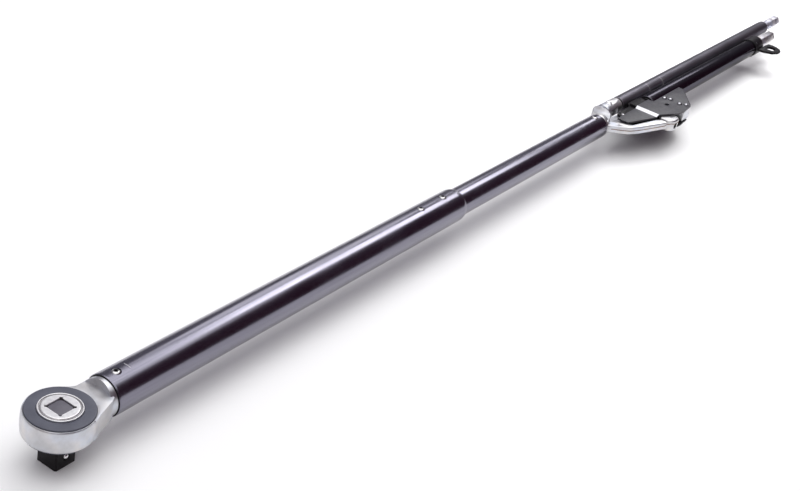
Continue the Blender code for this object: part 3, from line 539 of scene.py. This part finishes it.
def head():
    """The forged ring with its flat neck and round shank."""
    low, high, _ = box("ratchet_head")
    half = HEAD_HALF
    inner = half - COVER_RECESS
    barrel_r = abs(low.x - HEAD_X) / math.cos(math.pi / NODE_FACETS)
    recess_r = tube_radius("top_cover", "x") + 0.0004
    bore_r = tube_radius("ratchet_gear") + 0.0006
    section = [(bore_r, 0), (bore_r, -inner), (recess_r, -inner), (recess_r, -half)]
    section += [(barrel_r - inset, half * share) for inset, share in BARREL]
    section += [(recess_r, half), (recess_r, inner), (bore_r, inner), (bore_r, 0)]
    ring = solid(turned(rounded(section, 0.0005, 2)[:-1], RING, closed=True))
    plan = NECK_NEAR + arc(RING_CORE_R, -68, 70, 30) + curve_through(NECK_FAR, 4)
    body = solid(prism(plan, -half, half))
    soften(body, 0.0007, 3, 50)
    root, shoulder, end = 0.036, 0.0545, high.x
    profile = [(0, root), (SHANK_R, root), (SHANK_R, shoulder), (PLUG_R, shoulder + 0.0004)]
    profile += [(PLUG_R, end - 0.002), (PLUG_R - 0.002, end), (0, end)]
    join(body, solid(turned(profile, FINE, "X")))
    clear = 0.03
    for low_z, high_z in ((half, clear), (-clear, -half)):
        cut(body, cylinder(0.0500, low_z, high_z, RING))
    cut(body, cylinder(RING_CORE_R, -clear, clear, RING))
    join(body, ring)
    body.data.transform(Matrix.Translation((HEAD_X, HEAD_Y, AXIS_Z)))
    finished(body, "head_forging", "beam", ZINC, ["ratchet_head"], 28)


def cover_discs():
    """The two charcoal rings in the head's faces."""
    for node in ("top_cover", "bottom_cover"):
        low, high, centre = box(node)
        section = ring_profile(COVER_BORE_R, tube_radius(node), low.z, high.z, 0.0007)
        disc = solid(turned(section, FINE, closed=True), (centre.x, centre.y, 0))
        finished(disc, f"{node}_disc", "beam", CHARCOAL, [node])


def in_groove(face, centre, top):
    """Whether a face lies in the ring groove round the hub's boss."""
    reach = math.hypot(face.center.x - centre.x, face.center.y - centre.y)
    sunk = top - 0.002 < face.center.z < top - 0.0002
    return sunk and BOSS_R - 0.0002 < reach < BOSS_R + GROOVE_WIDTH


def gear_hub():
    """The bright stepped hub, its relieved square hole and the teeth inside."""
    low, high, centre = box("ratchet_gear")
    shoulder = high.z - 0.0005
    groove = shoulder - GROOVE_DEPTH
    profile = [(0, low.z), (HUB_R - 0.0015, low.z), (HUB_R, low.z), (HUB_R, shoulder)]
    profile += [(BOSS_R + GROOVE_WIDTH, shoulder), (BOSS_R + 0.0015, groove), (BOSS_R, groove)]
    profile += [(BOSS_R - 0.0006, high.z), (BOSS_R - 0.0018, high.z), (0, high.z)]
    hub = solid(turned(rounded(profile, 0.00045, 3), FINE), (centre.x, centre.y, 0))
    pitch = 360 / TEETH
    teeth = []
    for tooth in range(TEETH):
        teeth.append(polar(TOOTH_TIP_R, tooth * pitch))
        teeth.append(polar(TOOTH_ROOT_R, tooth * pitch + TOOTH_SKEW))
    row = prism(teeth, AXIS_Z - TOOTH_HALF_HEIGHT, AXIS_Z + TOOTH_HALF_HEIGHT)
    join(hub, solid(row, (centre.x, centre.y, 0)))
    half = SQUARE_HOLE_HALF
    square = [(-half, -half), (half, -half), (half, half), (-half, half)]
    bottom, top = low.z - OVERRUN, high.z + OVERRUN
    cut(hub, prism(square, bottom, top), (centre.x, centre.y, 0))
    for quarter in range(4):
        x, y = polar(RELIEF_REACH, 45 + 90 * quarter)
        cut(hub, cylinder(RELIEF_R, bottom, top, 24), (centre.x + x, centre.y + y, 0))
    soften(hub, 0.0003, 1, 50)
    finished(hub, "gear_hub", "ratchet", HUB_STEEL, ["ratchet_gear"], 30)
    # The groove's faces take the darker steel as painted shade
    second_look(hub, GROOVE_PAINTED_SHADE, lambda face: in_groove(face, centre, shoulder))


def square_outline(side, corner_r, count):
    """A square whose corners are cut to a radius from its centre."""
    tilt = math.degrees(math.acos(side / 2 / corner_r))
    points = []
    for quarter in range(4):
        points += arc(corner_r, 90 * quarter + tilt, 90 * quarter + 90 - tilt, count)
    return points


def drive():
    """The output square with its cross hole, the shank above it, and the detent ball."""
    low, high, centre = box("square_drive")
    shoulder = AXIS_Z - OUTPUT_SHOULDER
    outline = square_outline(high.x - low.x, OUTPUT_CORNER_R, 8)
    output = solid(prism(outline, low.z, shoulder), (centre.x, centre.y, 0))
    soften(output, 0.0013, 4, 40)
    outline = square_outline(DRIVE_SHANK_SIDE, DRIVE_SHANK_CORNER_R, 8)
    shank = solid(prism(outline, shoulder - 0.004, high.z), (centre.x, centre.y, 0))
    soften(shank, 0.0009, 3, 50)
    join(output, shank)
    ball_low, ball_high, ball = box("detent_ball")
    bore_r = (ball_high.x - ball_low.x) / 2 + 0.0004
    mouth_r = bore_r + 0.0006
    hole = [(0, -0.02), (mouth_r, -0.02), (mouth_r, 0.0001), (bore_r, 0.0006)]
    hole += [(bore_r, 0.0090), (0, 0.0090)]
    cut(output, turned(hole, SMALL, "Y"), (ball.x, low.y, ball.z))
    finished(output, "drive_square", "ratchet", DRIVE_BLACK, ["square_drive"], 30)
    # The drive's top face is lighter than its sides
    second_look(output, DRIVE_TOP_OXIDE, lambda face: face.center.z > high.z - 0.0010)
    shape = bmesh.new()
    ball_r = (ball_high.z - ball_low.z) / 2
    bmesh.ops.create_uvsphere(shape, u_segments=40, v_segments=24, radius=ball_r)
    piece = solid(shape, ball)
    finished(piece, "spring_ball", "detent", BRIGHT, ["detent_ball"], 60)


# Tubes and screws

FRONT_TUBE_BORE_R = 0.0194
REAR_TUBE_BORE_R = 0.01655
SLEEVE_END_R = 0.0205  # Where the front tube's rounded rear end meets its face
SCREW_CLEAR = 0.0075  # From a screw to the extra rings on either side of its seat
SCREW_SEAT_R = 0.0055
SCREW_HOLE_R = 0.0033
SCREW_HOLE_FLOOR = 0.010  # Above the tubes' axis
SCREW_SOCKET = 0.0046  # Across the flats


def screw_seat_cutter(floor):
    """A stepped cutter: a wide seat down to the floor, and a narrow hole below it."""
    bottom, top = AXIS_Z + SCREW_HOLE_FLOOR, AXIS_Z + 0.03
    profile = [(0, bottom), (SCREW_HOLE_R, bottom), (SCREW_HOLE_R, floor)]
    profile += [(SCREW_SEAT_R, floor), (SCREW_SEAT_R, top), (0, top)]
    return turned(profile, SMALL)


def beam_tubes():
    """The front tube, with a turned lip before and a round end behind, and the rear tube."""
    low, high, centre = box("outer_tube")
    radius = tube_radius("outer_tube")
    bore = FRONT_TUBE_BORE_R
    section = [(bore, low.x + 0.02), (bore, low.x), (0.0212, low.x)]
    section += [(0.0220, low.x + 0.0003), (0.0224, low.x + 0.0009)]
    section += [(radius, low.x + 0.0018), (radius, low.x + 0.0026)]
    for node in ("head_screw", "sleeve_screw_1", "sleeve_screw_2"):
        at = box(node)[2].x
        section += [(radius, at - SCREW_CLEAR), (radius, at + SCREW_CLEAR)]
    turn = high.x - 0.0098
    section += [(radius, high.x - 0.0106), (radius, turn)]
    section += quarter_round(SLEEVE_END_R, radius - SLEEVE_END_R, turn, 0.0093, 9, 1)
    section += [(0.0200, high.x), (bore, high.x)]
    outer = solid(turned(section, FINE, "X", closed=True), (0, centre.y, AXIS_Z))
    inner_low, inner_high, _ = box("inner_tube")
    end = box("end_screw")[2].x
    section = ring_profile(
        REAR_TUBE_BORE_R,
        tube_radius("inner_tube"),
        inner_low.x,
        inner_high.x,
        0.0006,
        (end - SCREW_CLEAR, end + SCREW_CLEAR),
    )
    inner = solid(turned(section, FINE, "X", closed=True), (0, centre.y, AXIS_Z))
    for node, target, floor in (
        ("head_screw", outer, 0.0203),
        ("sleeve_screw_1", outer, 0.0208),
        ("sleeve_screw_2", outer, 0.0208),
        ("end_screw", inner, 0.0176),
    ):
        at = box(node)[2]
        cut(target, screw_seat_cutter(AXIS_Z + floor), (at.x, at.y, 0))
    finished(outer, "front_tube", "beam", MAIN_TUBE, ["outer_tube"], 30)
    # The front tube's end faces are painted near-black as painted shade
    second_look(
        outer,
        PAINTED_SHADE_BLACK,
        lambda face: face.center.x < low.x + 0.0004 or face.center.x > high.x - 0.0003,
    )
    finished(inner, "rear_tube", "beam", MAIN_TUBE, ["inner_tube"], 30)


def in_socket(face, centre, floor):
    """Whether a face is a wall or the floor of a screw's hexagon socket."""
    reach = math.hypot(face.center.x - centre.x, face.center.y - centre.y)
    upright = abs(face.normal.z) < 0.1
    inside = face.center.z > floor and reach < 0.0026
    return inside and (upright or face.center.z < floor + 0.0003)


def button_screws():
    """Round-headed socket screws, each with a crowned head and a hexagon socket."""
    for node, slot in (
        ("head_screw", "charcoal_oxide"),
        ("sleeve_screw_1", "bright_steel"),
        ("sleeve_screw_2", "bright_steel"),
        ("end_screw", "bright_steel"),
    ):
        low, high, centre = box(node)
        radius = tube_radius(node, "x", SCREW_FACETS)
        thread_r = 0.0030
        seat = high.z - 0.0030
        edge = seat + 0.0004
        profile = [(0, low.z), (thread_r, low.z), (thread_r, seat), (radius, seat), (radius, edge)]
        profile += dome(radius, edge, 0.0026)
        screw = solid(turned(profile, SMALL), (centre.x, centre.y, 0))
        socket = prism(hexagon(SCREW_SOCKET, 15), seat + 0.0008, high.z + 0.003)
        cut(screw, socket, (centre.x, centre.y, 0))
        finished(screw, f"{node}_button", "beam", SCREW, [node], 30)
        # The socket's walls and floor are painted near-black as painted shade
        second_look(screw, PAINTED_SHADE_BLACK, lambda face: in_socket(face, centre, seat + 0.0007))


def tube_marks():
    """The white setting marks: a tick on the front tube and two arcs round the slim tube."""
    screw = box("head_screw")[2]
    radius = tube_radius("outer_tube")
    strip_mark("front_tick", "beam", screw.x + 0.0150, AXIS.y, radius, 79, 101, 0.0006)
    slim_low, _, slim = box("spring_tube")
    slim_r = tube_radius("spring_tube")
    for index, along in enumerate((0.1055, 0.1615)):
        name = f"slim_tube_mark_{index + 1}"
        strip_mark(name, "handle", slim_low.x + along, slim.y, slim_r, 88, 172, 0.0011)


def strip_mark(name, body, x, y, radius, start, end, width):
    """A thin printed line round part of a tube, from one angle to another."""
    shape = bmesh.new()
    count = 24
    half = width / 2
    rise = 0.00004
    corners = ((-half, -rise), (half, -rise), (half, rise), (-half, rise))
    rings = []
    for i in range(count + 1):
        angle = math.radians(start + (end - start) * i / count)
        ring = []
        for dx, dr in corners:
            r = radius + dr
            point = (x + dx, y + r * math.cos(angle), AXIS_Z + r * math.sin(angle))
            ring.append(shape.verts.new(point))
        rings.append(ring)
    for a, b in zip(rings, rings[1:]):
        for k in range(4):
            shape.faces.new((a[k], a[(k + 1) % 4], b[(k + 1) % 4], b[k]))
    shape.faces.new(rings[0])
    shape.faces.new(rings[-1])
    finished(solid(shape), name, body, MARK)


# Bracket

RIVET_RISE = 0.0024  # A rivet head's height
RIVET_SHANK_R = 0.0015


def parting_line():
    """The trimmed flash line along the near side of the end forging, stepping up at its block."""
    piece = copy_of("end_forging")
    shape = bmesh.new()
    shape.from_mesh(piece.data)
    shape.normal_update()
    for vert in shape.verts:
        vert.co += vert.normal * 0.0003
    shape.to_mesh(piece.data)
    shape.free()
    low, high, _ = box("end_forging")
    screw = box("trip_screw")[2]
    base, lift, half = 0.0005, 0.0045, 0.0006
    path = [(low.x - OVERRUN, base), (screw.x - 0.0190, base)]
    path += [(screw.x - 0.0110, lift), (high.x + OVERRUN, lift)]
    outline = [(x, z - half) for x, z in path] + [(x, z + half) for x, z in reversed(path)]
    band = prism(outline, 0.021, 0.12)
    band.transform(Matrix.Rotation(math.pi / 2, 4, "X"))
    combine(piece, solid(band, (0, 0, AXIS_Z)), "INTERSECT")
    finished(piece, "arm_parting_line", "beam", FLASH)


def in_screw_bore(face, screw, radius):
    """Whether a face lies in the bore of the block's set screw."""
    reach = math.hypot(face.center.x - screw.x, face.center.z - screw.z)
    return reach < radius and abs(face.center.y - screw.y) < 0.016 and abs(face.normal.y) < 0.3


def on_joggle(face):
    """Whether a face lies on the slope between a plate's two levels."""
    return 0.3 < abs(face.normal.x) < 0.9 and abs(face.normal.z) > 0.3


def bracket():
    """The end forging, the handle's castings and plates, and their pins and screws."""
    parting_line()
    arm = refined("end_forging", "arm_forging", "beam", ZINC, 0.0005, 2)
    screw_low, screw_high, screw = box("trip_screw")
    bore_r = (screw_high.x - screw_low.x) / 2 + 0.0008
    # The set screw's bore and the screw in it are painted near-black: painted shade in the hole
    second_look(arm, CASTING_AND_SHADE, lambda face: in_screw_bore(face, screw, bore_r))
    refined("trip_screw", "block_screw", "beam", CASTING_AND_SHADE, 0)
    refined("pivot_pin", "handle_pin", "beam", SCREW, 0)
    refined("eye_pin", "link_pin", "beam", BRIGHT, 0)
    refined("handle_lever", "lever_casting", "handle", CASTING_AND_SHADE, 0.0006, 2)
    refined("spacer_block", "plate_spacer", "handle", ZINC, 0.0006, 2)
    upper = refined("top_plate", "plate_upper", "handle", PLATE, 0.0006, 3, 20)
    # The lower plate takes the near-black as painted shade under the upper plate
    lower = refined("bottom_plate", "plate_lower", "handle", CASTING_AND_SHADE, 0.0006, 3, 20)
    # The joggle slopes get the painted highlight
    for plate in (upper, lower):
        second_look(plate, JOGGLE_HIGHLIGHT, on_joggle)
    refined("link_clevis", "clevis_collar", "link", ZINC, 0.0003, 2)


def plate_rivets():
    """Rivets with a low round head on each side of the plates."""
    for index in range(4):
        node = f"plate_rivet_{index + 1}"
        low, high, centre = box(node)
        inner_low, inner_high = low.z + RIVET_RISE, high.z - RIVET_RISE
        upper = dome(tube_radius(node, "x", RIVET_FACETS), inner_high, RIVET_RISE)
        lower = [(r, low.z + high.z - z) for r, z in reversed(upper)]
        shank = [(RIVET_SHANK_R, inner_low), (RIVET_SHANK_R, inner_high)]
        rivet = solid(turned(lower + shank + upper, SMALL), (centre.x, centre.y, 0))
        finished(rivet, f"{node}_dome", "handle", RIVET, [node], 50)


# Handle

HANDLE_TUBE_BORE_R = 0.0135
SLIM_TUBE_BORE_R = 0.0107
SLIM_TUBE_MOUTH_R = 0.0068
SLIM_TUBE_NOSE = (0.0048, 0.0060)  # How far its rear edge is rounded, across and along
SLIM_TUBE_END_WALL = 0.012


def handle_tubes():
    """The handle's long tube and the slim tube beside it, nearly closed at its rear end."""
    low, high, centre = box("handle_tube")
    section = ring_profile(HANDLE_TUBE_BORE_R, tube_radius("handle_tube"), low.x, high.x, 0.0008)
    tube = solid(turned(section, FINE, "X", closed=True), (0, centre.y, AXIS_Z))
    finished(tube, "grip_tube", "handle", HANDLE_TUBE, ["handle_tube"], 30)
    low, high, centre = box("spring_tube")
    radius = tube_radius("spring_tube")
    bore, mouth = SLIM_TUBE_BORE_R, SLIM_TUBE_MOUTH_R
    across, along = SLIM_TUBE_NOSE
    wall = high.x - SLIM_TUBE_END_WALL
    section = [(bore, low.x + 0.02), (bore, low.x)]
    section += [(radius - 0.0005, low.x), (radius, low.x + 0.0005)]
    section += quarter_round(radius - across, across, high.x - along, along, 8)
    section += [(mouth, high.x), (mouth, wall), (bore, wall)]
    tube = solid(turned(section, FINE, "X", closed=True), (0, centre.y, AXIS_Z))
    finished(tube, "slim_tube", "handle", SLIM_TUBE, ["spring_tube"], 30)


def rear_end():
    """The clamp with its set screw, the plug's hexagon and the adjuster's."""
    refined("end_clamp", "clamp_casting", "handle", CASTING_AND_SHADE, 0.0005, 2)
    refined("clamp_screw", "clamp_set_screw", "handle", DARK_STEEL, 0)
    refined("end_plug", "plug_hexagon", "handle", ZINC_DULL, 0.0003, 2)
    refined("torque_adjuster", "adjuster_hexagon", "adjuster", SILVER, 0.0003, 2)


HIDDEN_LOOKS = {
    "detent_spring": SPRING_STEEL,
    "pawl_a": SPRING_STEEL,
    "pawl_b": SPRING_STEEL,
    "pawl_pin_a": BRIGHT,
    "pawl_pin_b": BRIGHT,
    "pawl_spring_a": SPRING_STEEL,
    "pawl_spring_b": SPRING_STEEL,
    "tension_rod": BRIGHT,
    "front_bush": DRIVE_BLACK,
    "load_spring": SPRING_STEEL,
    "spring_seat": ZINC_DULL,
    "trip_latch": SPRING_STEEL,
    "latch_roller": BRIGHT,
    "roller_pin": BRIGHT,
    "latch_pin": BRIGHT,
    "latch_spring": SPRING_STEEL,
}


def hidden_pieces():
    """CAD nodes that stay as they are, with a real finish each."""
    for node, look in HIDDEN_LOOKS.items():
        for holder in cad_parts[node].material_slots:
            holder.material = look


# Studio

# Name, place, target, size and power. Without a target a light faces straight down.
LIGHTS = (
    ("long_softbox", (2.50, 0.20, 1.75), None, (1.4, 0.85), 18),
    ("rear_softbox", (4.55, 0.87, 1.75), None, (1.5, 0.75), 13),
    ("top_softbox", (0.8, 0.2, 2.6), None, (4.0, 2.6), 30),
    ("front_fill", (-2.2, -1.2, 1.6), (0.2, 0.0, 0.0), (1.8, 1.8), 10),
    ("rear_card", (1.94, 1.03, 1.26), (0.0, 0.0, AXIS_Z), (0.8, 0.8), 3.4),
)

NEAR_SKY = (0.062, 0.027, 0.048)
FAR_SKY = (0.25, 0.24, 0.28)
OVERHEAD = (1.15, 1.15, 1.17)

FLOOR_GAP = 0.0004  # Below the part's lowest point

CAMERA_FROM_HEAD = (-0.7226, -0.6909, 0.7832)
CAMERA_RIGHT = Vector((0.5524, -0.8108, 0.1935))
CAMERA_DOWN = Vector((-0.3093, -0.4150, -0.8557))
CAMERA_FORWARD = Vector((0.7741, 0.4129, -0.4800))


def add_light(name, at, target, size, power):
    """A soft rectangular light, its length along X when it faces straight down."""
    light = bpy.data.lights.new(name, "AREA")
    light.shape = "RECTANGLE"
    light.size = size[0]
    light.size_y = size[1]
    light.energy = power
    obj = bpy.data.objects.new(name, light)
    bpy.context.scene.collection.objects.link(obj)
    obj.location = at
    if target:
        obj.rotation_euler = (Vector(target) - Vector(at)).to_track_quat("-Z", "Y").to_euler()


def pale_floor():
    look = Look("pale_floor")
    look.colour(look.mix(look.noise(3.0), (0.93, 0.93, 0.93), (0.95, 0.95, 0.95)))
    look.shader.inputs["Roughness"].default_value = 0.9
    look.shader.inputs["Specular IOR Level"].default_value = 0.0
    low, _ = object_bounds()
    shape = bmesh.new()
    bmesh.ops.create_grid(shape, x_segments=8, y_segments=8, size=30)
    floor = solid(shape, (1.0, 0.0, low.z - FLOOR_GAP))
    floor.name = "floor"
    floor.data.materials.append(look.material)
    floor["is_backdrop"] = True


def sky():
    """Dim light from the near side, more from the far side, and a bright patch overhead."""
    world = bpy.data.worlds.new("studio")
    bpy.context.scene.world = world
    world.use_nodes = True
    tree = Tree(world.node_tree)
    direction = world.node_tree.nodes.new("ShaderNodeTexCoord").outputs["Generated"]
    parts = tree.add("ShaderNodeSeparateXYZ", {0: direction}).outputs
    side = tree.mix(tree.ramp(parts["Y"], 0.0, 1.0, -0.30, 0.35), NEAR_SKY, FAR_SKY)
    top = tree.ramp(parts["Z"], 0.0, 1.0, 0.66, 0.76)
    background = world.node_tree.nodes["Background"]
    tree.feed(background.inputs["Color"], tree.mix(top, side, OVERHEAD))
    background.inputs["Strength"].default_value = 1.0


def studio():
    pale_floor()
    sky()
    for light in LIGHTS:
        add_light(*light)


def view():
    """Plain display colours, so that the pale floor stays near white and the blacks stay deep."""
    settings = bpy.context.scene.view_settings
    settings.view_transform = "Standard"
    settings.look = "None"
    settings.exposure = 0.0


def camera():
    """A camera before the head and above it, tilted so that the wrench runs to the far corner."""
    x, y, z = CAMERA_FROM_HEAD
    place = Vector((HEAD_X + x, HEAD_Y + y, AXIS_Z + z))
    data = bpy.data.cameras.new("camera")
    data.sensor_width = 36.0
    data.lens = 59.85
    data.clip_end = 100.0
    obj = bpy.data.objects.new("camera", data)
    bpy.context.scene.collection.objects.link(obj)
    turn = Matrix((CAMERA_RIGHT, -CAMERA_DOWN, -CAMERA_FORWARD)).transposed()
    obj.matrix_world = Matrix.Translation(place) @ turn.to_4x4()
    bpy.context.scene.camera = obj


head()
cover_discs()
gear_hub()
drive()
beam_tubes()
button_screws()
tube_marks()
bracket()
plate_rivets()
handle_tubes()
rear_end()
hidden_pieces()
studio()
view()
camera()
